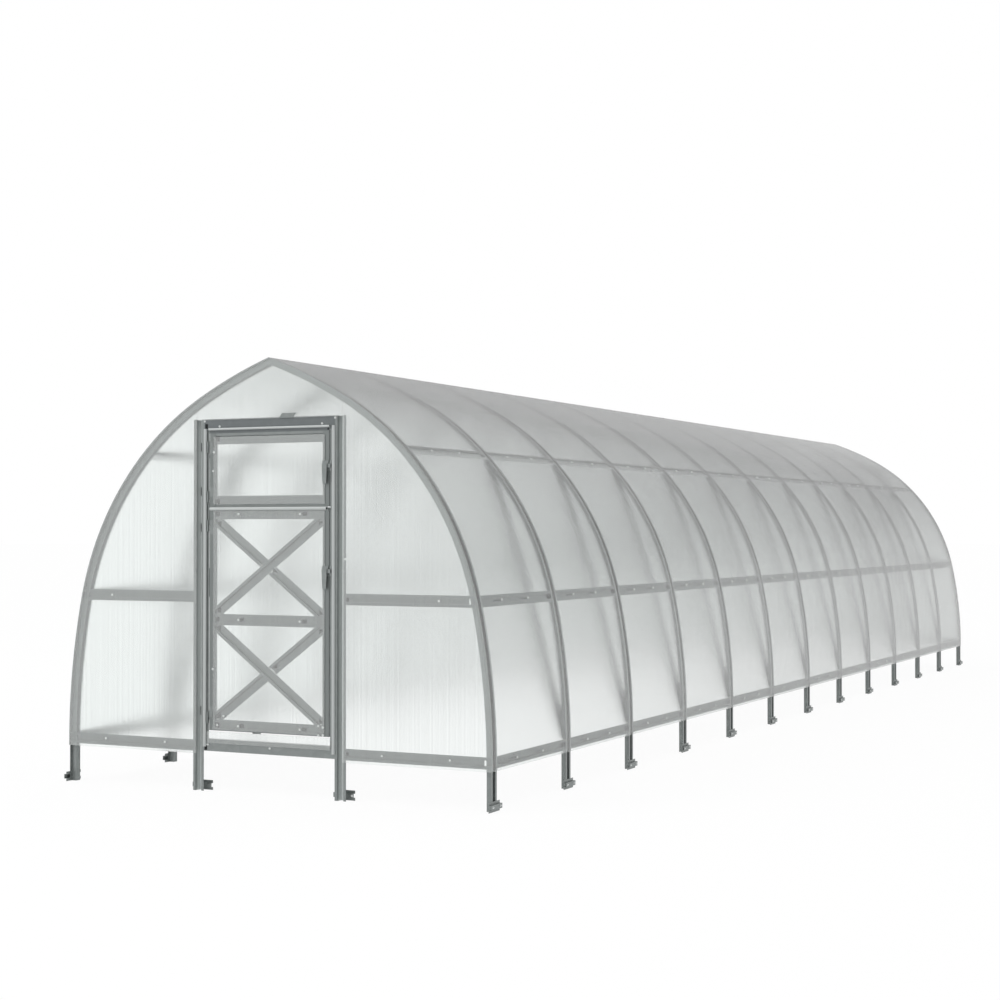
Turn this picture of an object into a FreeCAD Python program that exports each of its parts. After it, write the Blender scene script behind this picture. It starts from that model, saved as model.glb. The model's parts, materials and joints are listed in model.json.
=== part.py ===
import FreeCAD, Part
import math
import os
import re

import Sketcher

# A gothic arch greenhouse: pressed steel hat sections bent to pointed arches,
# braced by chord struts and purlins, under clear twin-wall sheet.
# X runs across, Y along (front gable at -Y), Z up; the origin is on the ground
# in the middle of the plan. All sizes are in millimetres.

Vector = FreeCAD.Vector
ALONG_X = Vector(1, 0, 0)
ALONG_Y = Vector(0, 1, 0)
ALONG_Z = Vector(0, 0, 1)

DRIVING = {
    # the plan and the pointed outline, measured over the cover
    "bays": 12,
    "bay": 1000,
    "half_width": 1455,
    "ridge_height": 2554,
    "leg_straight": 254,
    "lower_radius": 4250,
    "lower_turn": 12,
    "shoulder_radius": 1802,
    "shoulder_turn": 48.5,
    # hat section of the arches
    "gauge": 2,
    "hat_width": 70,
    "hat_crown": 36,
    "hat_depth": 36,
    # shallow hat of rails, purlins and door braces, and the slot at its end
    "rail_width": 66,
    "rail_crown": 36,
    "rail_depth": 15,
    "rail_slot": 26,
    "rail_tab": 44,
    "rail_window": 12,
    "seat_gap": 0.3,
    "strip_lip": 5.5,
    # chord struts inside the arches
    "strut_depth": 30,
    "strut_foot": 300,
    "strut_head": 1980,
    "strut_inset": 5,
    # cover
    "skin": 4,
    "skin_bottom": 220,
    # heights of the lengthwise members, at mid width
    "base_height": 267,
    "mid_height": 1150,
    "upper_height": 2000,
    "ridge_strip": 45,
    "purlin_slot": 42,
    # ground anchors at the foot of each leg
    "anchor_length": 135,
    "anchor_width": 58,
    "anchor_crown": 27,
    "anchor_depth": 18,
    # doorway: posts with slanting walls, channel lintel and sill
    "post_centre": 490,
    "post_width": 75,
    "post_mouth": 42,
    "post_crown": 26,
    "post_depth": 36,
    "post_height": 2203,
    "skin_edge": 504,
    "head_skin_bottom": 2197,
    "sill_bottom": 238,
    "sill_sheet_bottom": 285,
    "sill_sheet_top": 355,
    "sill_sheet_half": 428,
    "end_slot": 20,
    "end_slot_height": 30,
    "end_slot_inset": 5,
    "end_slot_rise": 12,
    # flat stop behind the gap round the leaves
    "stop_inner": 419.5,
    "stop_outer": 469.5,
    "stop_set_back": 5,
    # door leaf and vent leaf
    "leaf_half": 413,
    "stile_width": 41,
    "stile_depth": 20,
    "leaf_bottom": 361,
    "leaf_top": 1675,
    "leaf_middle": 1017,
    "vent_bottom": 1681,
    "vent_top": 2118,
    "pane_half": 386,
    "door_pane_bottom": 367,
    "door_pane_top": 1659,
    "vent_pane_bottom": 1697,
    "vent_pane_top": 2097,
    # rounded draught strips
    "jamb_strip": 23,
    "jamb_inner": 433,
    "jamb_bottom": 264,
    "jamb_top": 2146,
    "head_strip": 15,
    "head_strip_half": 418,
    "leaf_strip": 23,
    "leaf_strip_half": 408,
    "strip_reach": 12,
    # lift-off hinges
    "hinge_x": 423.5,
    "hinge_reach": 6,
    "knuckle_radius": 5,
    "knuckle_height": 34,
    "knuckle_play": 1,
    "pin_radius": 2.5,
    "pin_clearance": 0.3,
    "hinge_neck": 6,
    "hinge_plate": 34,
    "door_hinge_low": 402,
    "door_hinge_high": 1537,
    "vent_hinge_low": 1708,
    "vent_hinge_high": 2004,
    # latches with a hanging lever, and their keepers
    "door_latch": 1310,
    "vent_latch": 1915,
    "latch_x": 391,
    "latch_width": 40,
    "latch_height": 58,
    "boss_radius": 11,
    "boss_reach": 14,
    "tongue_reach": 428,
    "tongue_height": 22,
    "tongue_gauge": 3,
    "lever_top": 34,
    "lever_tip": 24,
    "lever_length": 115,
    "lever_gauge": 4,
    "keeper_width": 12,
    "keeper_reach": 3,
}

os.makedirs("parts", exist_ok=True)
doc = FreeCAD.newDocument("GothicArchGreenhouse")
sheet = doc.addObject("Spreadsheet::Sheet", "Dimensions")
subparts = []


def write_row(alias, number):
    """Add a named size to the sheet."""
    row = len(sheet.getUsedCells()) // 2 + 1
    sheet.set(f"A{row}", alias)
    sheet.set(f"B{row}", str(number))
    sheet.setAlias(f"B{row}", alias)
    return alias


def derived(alias, number):
    """Add a size that follows from the outline."""
    write_row(alias, round(number, 3))
    doc.recompute()
    return alias


for alias, number in DRIVING.items():
    write_row(alias, number)
doc.recompute()


def bound(formula):
    """Write a formula of cell names so that it reads from the sheet."""
    return re.sub(r"[a-z]\w*", lambda word: "Dimensions." + word.group(), formula)


def size(formula):
    """The present value of a formula of cell names."""
    return float(sheet.evalExpression(bound(formula)))


def bind(thing, **formulas):
    for name, formula in formulas.items():
        thing.setExpression(name, bound(formula))
    return thing


def bind_place(thing, x="0", y="0", z="0", rotation=None):
    """Put an object at a bound position, turned by a fixed rotation."""
    if rotation:
        thing.Placement.Rotation = rotation
    for axis, formula in zip("xyz", (x, y, z)):
        thing.setExpression(f"Placement.Base.{axis}", bound(formula))
    return thing


def keep(thing, label):
    """Name a finished sub-part after its node."""
    thing.Label = label
    subparts.append(thing)
    return thing


def axes(length_way, depth_way):
    """Rotation that lays a bar's length and its depth along two directions."""
    return FreeCAD.Rotation(depth_way.cross(length_way), depth_way, length_way, "ZYX")


def box(x, y, z, length, width, height):
    thing = doc.addObject("Part::Box", "Box")
    bind(thing, Length=length, Width=width, Height=height)
    return bind_place(thing, x, y, z)


def cylinder(x, y, z, radius, height):
    thing = doc.addObject("Part::Cylinder", "Cylinder")
    bind(thing, Radius=radius, Height=height)
    return bind_place(thing, x, y, z)


def boolean(kind, base, tool):
    thing = doc.addObject("Part::" + kind, kind)
    thing.Base = base
    thing.Tool = tool
    return thing


def group(things, name="Group"):
    thing = doc.addObject("Part::Compound", name)
    thing.Links = things
    return thing


def weld(things):
    thing = doc.addObject("Part::MultiFuse", "Weld")
    thing.Shapes = things
    return thing


def fix(sketch, way, edge, point, formula):
    """Hold one end of a sketch edge at a bound distance from the origin."""
    if formula == "0":
        axis = -1 if way == "DistanceY" else -2
        sketch.addConstraint(Sketcher.Constraint("PointOnObject", edge, point, axis))
        return
    sketch.addConstraint(Sketcher.Constraint(way, -1, 1, edge, point, size(formula)))
    sketch.setExpression(f"Constraints[{sketch.ConstraintCount - 1}]", bound(formula))


def outline(sketch, corners):
    """Draw a closed outline through corners, each bound across and in depth."""
    points = [Vector(size(across), size(deep)) for across, deep in corners]
    for here, after in zip(points, points[1:] + points[:1]):
        sketch.addGeometry(Part.LineSegment(here, after), False)
    for edge, (across, deep) in enumerate(corners):
        sketch.addConstraint(Sketcher.Constraint("Coincident", edge, 2, (edge + 1) % len(corners), 1))
        fix(sketch, "DistanceX", edge, 1, across)
        fix(sketch, "DistanceY", edge, 1, deep)


def mirrored(half):
    """The corners of one half, and the same corners on the other side."""
    return half + [(f"-({across})", deep) for across, deep in reversed(half)]


def hat(width, crown, depth, mouth=None):
    """A hat section: two brims at depth 0 and a crown; the walls slant if the mouth is given."""
    mouth = mouth or f"({crown} - 2 * gauge)"
    return mirrored([
        (f"{crown} / 2 - gauge", f"{depth} - gauge"),
        (f"{mouth} / 2", "0"), (f"{width} / 2", "0"),
        (f"{width} / 2", "gauge"), (f"{mouth} / 2 + gauge", "gauge"),
        (f"{crown} / 2", depth),
    ])


def channel(width, depth):
    """A channel: a web at depth 0 between two flanges."""
    return mirrored([
        (f"{width} / 2 - gauge", "gauge"), (f"{width} / 2 - gauge", depth),
        (f"{width} / 2", depth), (f"{width} / 2", "0"),
    ])


def new_sketch(body, plane_role):
    sketch = body.newObject("Sketcher::SketchObject", "Section")
    plane = next(f for f in body.Origin.OriginFeatures if f.Role == plane_role)
    sketch.AttachmentSupport = (plane, [""])
    sketch.MapMode = "FlatFace"
    return sketch


def pad(body, sketch, length):
    feature = body.newObject("PartDesign::Pad", "Length")
    feature.Profile = sketch
    bind(feature, Length=length)
    body.Tip = feature
    return body


def bar(corners, length, name="Bar"):
    """A straight length of a section given by its corners, standing up along Z."""
    body = doc.addObject("PartDesign::Body", name)
    sketch = new_sketch(body, "XY_Plane")
    outline(sketch, corners)
    return pad(body, sketch, length)


def strip(height, reach, length):
    """A bar with a half-round nose towards -Y and a flat back at depth 0."""
    body = doc.addObject("PartDesign::Body", "Strip")
    sketch = new_sketch(body, "XY_Plane")
    half = size(height) / 2
    nose = size(reach) - half
    corners = [Vector(half, -nose), Vector(half, 0), Vector(-half, 0), Vector(-half, -nose)]
    for start, end in zip(corners, corners[1:]):
        sketch.addGeometry(Part.LineSegment(start, end), False)
    circle = Part.Circle(Vector(0, -nose), ALONG_Z, half)
    sketch.addGeometry(Part.ArcOfCircle(circle, math.pi, 2 * math.pi), False)
    for edge, way in enumerate(("Vertical", "Horizontal", "Vertical")):
        sketch.addConstraint(Sketcher.Constraint(way, edge))
    sketch.addConstraint(Sketcher.Constraint("Coincident", 0, 2, 1, 1))
    sketch.addConstraint(Sketcher.Constraint("Coincident", 1, 2, 2, 1))
    sketch.addConstraint(Sketcher.Constraint("Tangent", 2, 2, 3, 1))
    sketch.addConstraint(Sketcher.Constraint("Tangent", 3, 2, 0, 1))
    fix(sketch, "DistanceX", 0, 2, f"{height} / 2")
    fix(sketch, "DistanceX", 2, 1, f"-{height} / 2")
    fix(sketch, "DistanceY", 1, 1, "0")
    fix(sketch, "DistanceY", 0, 1, f"{height} / 2 - ({reach})")
    return pad(body, sketch, length)


# outline

def outline_arcs():
    """Centres, radii and turns of the right half's three tangent arcs."""
    lower, shoulder = size("lower_radius - skin"), size("shoulder_radius - skin")
    low_turn = math.radians(size("lower_turn"))
    high_turn = low_turn + math.radians(size("shoulder_turn"))
    side, apex = size("half_width - skin"), size("ridge_height - skin")
    low_centre = Vector(side - lower, size("leg_straight"))
    spoke = Vector(math.cos(low_turn), math.sin(low_turn))
    high_centre = low_centre + spoke * (lower - shoulder)
    spoke = Vector(math.cos(high_turn), math.sin(high_turn))
    joint = high_centre + spoke * shoulder
    reach = Vector(0, apex) - joint
    top = -reach.dot(reach) / (2 * reach.dot(spoke))
    top_centre = joint - spoke * top
    ridge_turn = math.atan2(apex - top_centre.y, -top_centre.x)
    return [
        (low_centre, lower, 0, low_turn),
        (high_centre, shoulder, low_turn, high_turn),
        (top_centre, top, high_turn, ridge_turn),
    ]


def outline_sketch(name, start, closed=False):
    """The frame's outer line, from a height on one leg over the ridge to the other."""
    sketch = doc.addObject("Sketcher::SketchObject", name)
    sketch.Placement.Rotation = FreeCAD.Rotation(ALONG_X, 90)
    side, low, straight = size("half_width - skin"), size(start), size("leg_straight")
    arcs = outline_arcs()
    sketch.addGeometry(Part.LineSegment(Vector(side, low), Vector(side, straight)), False)
    for centre, radius, begin, end in arcs:
        circle = Part.Circle(centre, ALONG_Z, radius)
        sketch.addGeometry(Part.ArcOfCircle(circle, begin, end), False)
    for centre, radius, begin, end in reversed(arcs):
        circle = Part.Circle(Vector(-centre.x, centre.y), ALONG_Z, radius)
        sketch.addGeometry(Part.ArcOfCircle(circle, math.pi - end, math.pi - begin), False)
    sketch.addGeometry(Part.LineSegment(Vector(-side, straight), Vector(-side, low)), False)
    sketch.addConstraint(Sketcher.Constraint("Vertical", 0))
    for edge in (0, 1, 2):
        sketch.addConstraint(Sketcher.Constraint("Tangent", edge, 2, edge + 1, 1))
    for edge in (3, 4, 5, 6):
        sketch.addConstraint(Sketcher.Constraint("Coincident", edge, 2, edge + 1, 1))
    fix(sketch, "DistanceX", 0, 1, "half_width - skin")
    fix(sketch, "DistanceY", 0, 1, start)
    fix(sketch, "DistanceY", 0, 2, "leg_straight")
    fix(sketch, "DistanceX", 3, 2, "0")
    fix(sketch, "DistanceY", 3, 2, "ridge_height - skin")
    for edge, radius, turn in ((1, "lower_radius - skin", "lower_turn"),
                               (2, "shoulder_radius - skin", "shoulder_turn")):
        sketch.addConstraint(Sketcher.Constraint("Radius", edge, size(radius)))
        sketch.setExpression(f"Constraints[{sketch.ConstraintCount - 1}]", bound(radius))
        sketch.addConstraint(Sketcher.Constraint("Angle", edge, math.radians(size(turn))))
        sketch.setExpression(f"Constraints[{sketch.ConstraintCount - 1}]", bound(turn) + " * 1 deg")
    for right, left in ((1, 6), (2, 5), (3, 4)):
        sketch.addConstraint(Sketcher.Constraint("Equal", right, left))
        sketch.addConstraint(Sketcher.Constraint("Symmetric", right, 1, left, 2, -2))
    sketch.addConstraint(Sketcher.Constraint("Symmetric", 0, 1, 7, 2, -2))
    if closed:
        sketch.addGeometry(Part.LineSegment(Vector(-side, low), Vector(side, low)), False)
        sketch.addConstraint(Sketcher.Constraint("Coincident", 7, 2, 8, 1))
        sketch.addConstraint(Sketcher.Constraint("Coincident", 8, 2, 0, 1))
    return sketch


def inward(height, offset):
    """A point under the outline at a height, moved in by an offset, and its outward normal."""
    arcs = outline_arcs()
    if height < size("leg_straight"):
        return Vector(size("half_width - skin") - offset, 0, height), Vector(1, 0, 0)
    for centre, radius, begin, end in arcs:
        turn = math.asin(min(1, (height - centre.y) / radius))
        if turn <= end:
            break
    normal = Vector(math.cos(turn), 0, math.sin(turn))
    foot = Vector(centre.x, 0, centre.y) + normal * radius
    return foot - normal * offset, normal


def band(line, offset):
    """A flat band between a line and its offset, as a face."""
    thing = doc.addObject("Part::Offset2D", "Band")
    thing.Source = line
    thing.Mode = "Skin"
    thing.Fill = True
    thing.Join = 2
    return bind(thing, Value=offset)


def along(face, length, name="Along"):
    """A face in the XZ plane drawn out along Y, half of it each way."""
    thing = doc.addObject("Part::Extrusion", name)
    thing.Base = face
    thing.DirMode = "Custom"
    thing.Dir = ALONG_Y
    thing.Solid = True
    thing.Symmetric = True
    return bind(thing, LengthFwd=length)


# arches

frame_line = outline_sketch("FrameLine", "0")
brims = along(band(frame_line, "gauge"), "hat_width")
crown = along(band(frame_line, "hat_depth"), "hat_crown")
mouth = along(band(frame_line, "hat_depth - gauge"), "hat_crown - 2 * gauge")
hoop = boolean("Cut", boolean("Fuse", brims, crown), mouth)

arch_places = [f"({number} - bays / 2) * bay" for number in range(int(size("bays")) + 1)]
for number, place in enumerate(arch_places, start=1):
    arch = keep(group([hoop], "Arch"), f"arch_{number:02d}")
    bind_place(arch, y=place)


def repeat(thing, places, label):
    """Copies of one piece at several places along Y, kept as one sub-part."""
    copies = [bind_place(group([thing], "Copy"), y=place) for place in places]
    return group(copies, label)


def both_sides(piece, left_label, right_label):
    """Keep a piece of the right side, and the same piece turned to the left side."""
    keep(piece, right_label)
    left = group([piece], left_label)
    left.Placement.Rotation = FreeCAD.Rotation(ALONG_Z, 180)
    keep(left, left_label)


# chord struts

def strut():
    """A channel that straddles the arch's crown at both of its ends."""
    foot, _ = inward(size("strut_foot"), size("hat_depth + strut_inset"))
    head, _ = inward(size("strut_head"), size("hat_depth + strut_inset"))
    rise = head - foot
    length = derived("strut_length", rise.Length)
    piece = bar(channel("(hat_crown + 2 * gauge)", "strut_depth"), length, "Strut")
    way = rise.normalize()
    piece.Placement = FreeCAD.Placement(foot, axes(way, Vector(way.z, 0, -way.x)))
    return piece


both_sides(repeat(strut(), arch_places[1:-1], "StrutRow"), "chord_struts_left", "chord_struts_right")


# purlins

RAIL_SECTION = hat("rail_width", "rail_crown", "rail_depth")


def crown_slot(start, length):
    """The room of a missing piece of a rail's crown, in the rail's own axes."""
    return box("gauge - rail_crown / 2", "rail_depth - gauge", start, "rail_crown - 2 * gauge", "gauge", length)


def purlin(height):
    """A rail between two arches, under their brims, its mouth outwards and its crown short at one end."""
    length = "bay - hat_crown"
    slot = crown_slot(f"{length} - purlin_slot", "purlin_slot")
    piece = group([boolean("Cut", bar(RAIL_SECTION, length, "Purlin"), slot)], "PlacedPurlin")
    place, normal = inward(size(height), size("gauge + seat_gap"))
    piece.Placement = FreeCAD.Placement(place + ALONG_Y * size("hat_crown / 2"), axes(ALONG_Y, -normal))
    return piece


for name in ("base", "mid", "upper"):
    row = repeat(purlin(name + "_height"), arch_places[:-1], name.title() + "Row")
    title = name + ("_rail" if name == "base" else "_purlin")
    both_sides(row, title + "_left", title + "_right")

ridge_length = "bay - hat_crown"
under_brims = boolean("Cut", along(band(frame_line, "2 * gauge"), ridge_length),
                      along(band(frame_line, "gauge"), ridge_length))
ridge_room = box("-ridge_strip", "-bay / 2", "0", "2 * ridge_strip", "bay", "ridge_height")
ridge_piece = bind_place(group([boolean("Common", under_brims, ridge_room)]), y="bay / 2")
keep(repeat(ridge_piece, arch_places[:-1], "RidgeRow"), "ridge_purlin")

# cover

cover_line = outline_sketch("CoverLine", "skin_bottom")
cover_band = band(cover_line, "-skin")
bed_band = band(cover_line, "-seat_gap")
for number in range(6):
    first, last = number == 0, number == 5
    overhang = "hat_width / 2 + skin"
    length = "bays / 6 * bay" + (f" + {overhang}" if first or last else "")
    shift = f" - ({overhang}) / 2" if first else f" + ({overhang}) / 2" if last else ""
    skin_piece = boolean("Cut", along(cover_band, length, "CoverSheet"), along(bed_band, length))
    piece = keep(group([skin_piece], "Cover"), f"cover_sheet_{number + 1}")
    bind_place(piece, y=f"({number} - 2.5) * bays / 6 * bay" + shift)

# anchors

def anchor():
    return bar(hat("anchor_width", "anchor_crown", "anchor_depth"), "anchor_length", "Anchor")


leg_anchor = bind_place(
    anchor(), "half_width - skin", "-anchor_length / 2", "anchor_width / 2", axes(ALONG_Y, ALONG_X))
both_sides(repeat(leg_anchor, arch_places, "AnchorRow"), "leg_anchors_left", "leg_anchors_right")

# front gable

FRONT = "(-bays / 2 * bay - hat_width / 2)"
POST_SECTION = hat("post_width", "post_crown", "post_depth", "post_mouth")
HEADER_SECTION = channel("hat_width", "hat_depth")
RAIL_FACE = f"{FRONT} + gauge"
SHEET_BACK = f"({FRONT} - seat_gap)"
STOP_FACE = f"{FRONT} + stop_set_back"
CROWN_OUT = axes(ALONG_X, -ALONG_Y)
CROWN_IN = axes(ALONG_X, ALONG_Y)

for side, sign in (("left", "-"), ("right", "")):
    post = bind_place(bar(POST_SECTION, "post_height", "Post"), f"{sign}post_centre", FRONT, "0")
    stop = box("-stop_outer" if sign else "stop_inner", STOP_FACE, "sill_bottom + hat_width",
               "stop_outer - stop_inner", "gauge", "post_height - sill_bottom - 2 * hat_width")
    keep(weld([post, stop]), f"front_post_{side}")

post_anchors = []
for sign in ("-", ""):
    post_anchors.append(bind_place(
        anchor(), f"{sign}post_centre - anchor_length / 2", f"{FRONT} + post_depth + anchor_depth",
        "anchor_width / 2", CROWN_OUT))
keep(group(post_anchors), "front_post_anchors")


def header(centre, slot_bottom):
    """A channel between the posts' brims, web outwards, with a slot by the left post."""
    half = "(post_centre - post_width / 2)"
    beam = bind_place(bar(HEADER_SECTION, f"2 * {half}", "Header"), f"-{half}", FRONT, centre, CROWN_IN)
    slot = box(f"end_slot_inset - {half}", FRONT, slot_bottom, "end_slot", "gauge", "end_slot_height")
    return boolean("Cut", beam, slot)


lintel = header("post_height - hat_width / 2", "post_height - hat_width + end_slot_rise")
head_stop = box("-stop_inner", STOP_FACE, "vent_top", "2 * stop_inner", "gauge",
                "post_height - hat_width - vent_top")
keep(group([lintel, head_stop]), "front_lintel")
keep(header("sill_bottom + hat_width / 2", "sill_bottom + end_slot_inset"), "front_sill")
sill_sheet = box("-sill_sheet_half", f"{SHEET_BACK} - skin", "sill_sheet_bottom",
                 "2 * sill_sheet_half", "skin", "sill_sheet_top - sill_sheet_bottom")
keep(sill_sheet, "front_sill_sheet")


def slotted_rail(length):
    """A rail whose crown is short at its start, with a flat tab behind it."""
    rail = boolean("Cut", bar(RAIL_SECTION, length, "Rail"), crown_slot("0", "rail_slot"))
    tab = box("-rail_crown / 2", "rail_depth", "0", "rail_crown", "gauge", "rail_tab")
    return weld([rail, tab])


def gable_rail(height):
    """A rail from the post's side wall over the arch's side to its brims, with a window by the arch."""
    reach, _ = inward(size(f"{height} + rail_width / 2"), size("gauge"))
    arch_edge, _ = inward(size(height), size("hat_depth"))
    start = "post_centre + post_mouth / 2 + gauge"
    length = derived(height.replace("height", "rail_length"), reach.x - size(start))
    window = derived(height.replace("height", "window_place"), arch_edge.x - size(f"{start} + rail_window"))
    rail = boolean("Cut", slotted_rail(length), crown_slot(window, "rail_window"))
    return bind_place(group([rail], "GableRail"), start, RAIL_FACE, height, CROWN_IN)


right_rails = keep(group([gable_rail("base_height"), gable_rail("mid_height")]), "front_rails_right")
left_rails = doc.addObject("Part::Mirroring", "Mirror")
left_rails.Source = right_rails
left_rails.Normal = ALONG_X
keep(left_rails, "front_rails_left")

gable_face = doc.addObject("Part::Extrusion", "GableFace")
gable_face.Base = outline_sketch("GableLine", "skin_bottom", closed=True)
gable_face.DirMode = "Custom"
gable_face.Dir = -ALONG_Y
gable_face.Solid = True
bind(gable_face, LengthFwd="skin")
bind_place(gable_face, y=SHEET_BACK)
gable_rooms = {
    "left": box("-half_width", f"{FRONT} - bay", "0", "half_width - skin_edge", "2 * bay", "ridge_height"),
    "right": box("skin_edge", f"{FRONT} - bay", "0", "half_width - skin_edge", "2 * bay", "ridge_height"),
    "top": box("-skin_edge", f"{FRONT} - bay", "head_skin_bottom", "2 * skin_edge", "2 * bay", "ridge_height"),
}
for name, room in gable_rooms.items():
    keep(boolean("Common", gable_face, room), f"front_sheet_{name}")

# rounded draught strips round the doorway
LEVEL_STRIP = axes(ALONG_X, ALONG_Y)
strips = []
for sign in ("-", ""):
    jamb = strip("jamb_strip", "strip_reach", "jamb_top - jamb_bottom")
    strips.append(bind_place(jamb, f"{sign}(jamb_inner + jamb_strip / 2)", FRONT, "jamb_bottom"))
head_strip = strip("head_strip", "strip_reach", "2 * head_strip_half")
strips.append(bind_place(
    head_strip, "-head_strip_half", FRONT, "post_height - hat_width + gauge + head_strip / 2", LEVEL_STRIP))
keep(group(strips), "front_strips")

# door and vent leaves

LEAF_INNER = "(leaf_half - stile_width)"


def leaf_frame(bottom, top, rail_heights, label):
    """Two channel stiles, webs outwards, with rails between them."""
    pieces = []
    for sign in ("-", ""):
        stile = bar(channel("stile_width", "stile_depth"), f"{top} - {bottom}", "Stile")
        pieces.append(bind_place(stile, f"{sign}(leaf_half - stile_width / 2)", FRONT, bottom))
    for height in rail_heights:
        rail = group([slotted_rail(f"2 * {LEAF_INNER}")], "LeafRail")
        pieces.append(bind_place(rail, f"-{LEAF_INNER}", RAIL_FACE, height, CROWN_IN))
    return keep(group(pieces), label)


def pane(bottom, top, label):
    sheet_room = ("-pane_half", f"{SHEET_BACK} - skin", bottom, "2 * pane_half", "skin", f"{top} - {bottom}")
    return keep(box(*sheet_room), label)


door_rails = ["leaf_bottom + rail_width / 2", "leaf_middle", "leaf_top - rail_width / 2"]
leaf_frame("leaf_bottom", "leaf_top", door_rails, "door_frame")
pane("door_pane_bottom", "door_pane_top", "door_pane")
vent_rails = ["vent_bottom + rail_width / 2", "vent_top - rail_width / 2"]
leaf_frame("vent_bottom", "vent_top", vent_rails, "vent_frame")
pane("vent_pane_bottom", "vent_pane_top", "vent_pane")

# its upper edge stands in front of the gap under the vent
top_strip = strip("leaf_strip", "strip_reach", "2 * leaf_strip_half")
bind_place(top_strip, "-leaf_strip_half", FRONT, "door_pane_top + seat_gap + leaf_strip / 2", LEVEL_STRIP)
edge_room = box("-leaf_half", f"{FRONT} - strip_lip", "leaf_top", "2 * leaf_half", "2 * strip_lip",
                "leaf_strip")
keep(boolean("Cut", top_strip, edge_room), "door_top_strip")

BRACE_ROOM = mirrored([
    ("rail_width / 2 + gauge", "-rail_depth"), ("rail_width / 2 + gauge", "2 * rail_depth"),
])


def crossed_braces(bottom, top, rising_in_front):
    """Two rails as diagonals in one panel; the one behind is cut where they cross."""
    low, high = size(bottom), size(top)
    middle = Vector(0, size(RAIL_FACE), (low + high) / 2)
    room = box(f"-{LEAF_INNER}", f"{RAIL_FACE} - bay / 2", bottom, f"2 * {LEAF_INNER}", "bay",
               f"{top} - ({bottom})")
    over_length = "4 * leaf_half"
    pieces = []
    for rising in (rising_in_front, not rising_in_front):
        way = Vector(size(f"2 * {LEAF_INNER}"), 0, high - low if rising else low - high).normalize()
        place = FreeCAD.Placement(middle - way * (size(over_length) / 2), axes(way, ALONG_Y))
        diagonal = bar(RAIL_SECTION, over_length, "Brace")
        diagonal.Placement = place
        if rising == rising_in_front:
            crossing = bar(BRACE_ROOM, over_length, "Crossing")
            crossing.Placement = place
        else:
            diagonal = boolean("Cut", diagonal, crossing)
        pieces.append(boolean("Common", diagonal, room))
    return pieces


lower_panel = crossed_braces("leaf_bottom + rail_width", "leaf_middle - rail_width / 2", False)
upper_panel = crossed_braces("leaf_middle + rail_width / 2", "leaf_top - rail_width", True)
keep(group(lower_panel + upper_panel), "door_braces")


# hinges and latches

PIN_Y = f"({FRONT} - hinge_reach)"


def hinge_neck(height):
    """The jamb's half: a knuckle on a neck that stands on the stop."""
    neck = box("-hinge_x - hinge_neck / 2", PIN_Y, height, "hinge_neck", "hinge_reach + stop_set_back",
               "knuckle_height")
    return [cylinder("-hinge_x", PIN_Y, height, "knuckle_radius", "knuckle_height"), neck]


def hinge_leaf(height, tall):
    """The leaf's half: a knuckle on a plate that lies on the stile."""
    plate = box("-hinge_x", f"{FRONT} - gauge", height, "hinge_plate", "gauge", tall)
    return [cylinder("-hinge_x", PIN_Y, height, "knuckle_radius", tall), plate]


def hinge_bracket(height):
    pin = cylinder("-hinge_x", PIN_Y, height, "pin_radius", "2 * knuckle_height")
    return weld(hinge_neck(height) + [pin])


def hinge_flap(height):
    """The leaf's half of a moving hinge, bored for the pin."""
    low, tall = f"{height} + knuckle_height + knuckle_play", "knuckle_height - knuckle_play"
    bore = cylinder("-hinge_x", PIN_Y, low, "pin_radius + pin_clearance", tall)
    return boolean("Cut", weld(hinge_leaf(low, tall)), bore)


def closed_hinge(height):
    """Both halves of a hinge that stays shut, as one piece."""
    neck = hinge_neck(height)[1]
    plate = hinge_leaf(f"{height} + knuckle_height", "knuckle_height")[1]
    return weld([cylinder("-hinge_x", PIN_Y, height, "knuckle_radius", "2 * knuckle_height"), neck, plate])


def latch(height):
    """A plate on the stile, a boss, a tongue towards the jamb and a tapered lever."""
    low = f"{height} - latch_height / 2"
    back = box("latch_x - latch_width / 2", f"{SHEET_BACK} - skin - gauge", low, "latch_width", "gauge",
               "latch_height")
    seat = box("pane_half + gauge", f"{SHEET_BACK} - skin", low,
               "latch_x + latch_width / 2 - pane_half - gauge", "skin + seat_gap", "latch_height")
    stub = cylinder("0", "0", "skin + seat_gap", "boss_radius", "boss_reach - skin - seat_gap")
    boss = bind_place(group([stub]),
                      "latch_x", FRONT, height, FreeCAD.Rotation(ALONG_X, 90))
    tongue = box("latch_x", f"{FRONT} - boss_reach + gauge", f"{height} - tongue_height / 2",
                 "tongue_reach - latch_x", "tongue_gauge", "tongue_height")
    taper = mirrored([("lever_top / 2", "boss_radius"), ("lever_tip / 2", "boss_radius - lever_length")])
    lever = bind_place(bar(taper, "lever_gauge", "Lever"), "latch_x", f"{FRONT} - boss_reach", height,
                       axes(-ALONG_Y, ALONG_Z))
    return weld([back, seat, boss, tongue, lever])


def keeper(height):
    """A block on the stop that the tongue lies over."""
    return box("stop_inner", f"{FRONT} - keeper_reach", f"{height} - latch_height / 2",
               "keeper_width", "keeper_reach + stop_set_back", "latch_height")


keep(group([hinge_bracket("door_hinge_low"), hinge_bracket("door_hinge_high")]), "door_hinge_brackets")
keep(group([hinge_flap("door_hinge_low"), hinge_flap("door_hinge_high"), latch("door_latch")]),
     "door_fittings")
keep(group([closed_hinge("vent_hinge_low"), closed_hinge("vent_hinge_high"), latch("vent_latch"),
            keeper("vent_latch"), keeper("door_latch")]), "vent_fittings")
rear_leaf_fittings = [closed_hinge("door_hinge_low"), closed_hinge("door_hinge_high"), latch("door_latch")]

# rear gable

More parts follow.
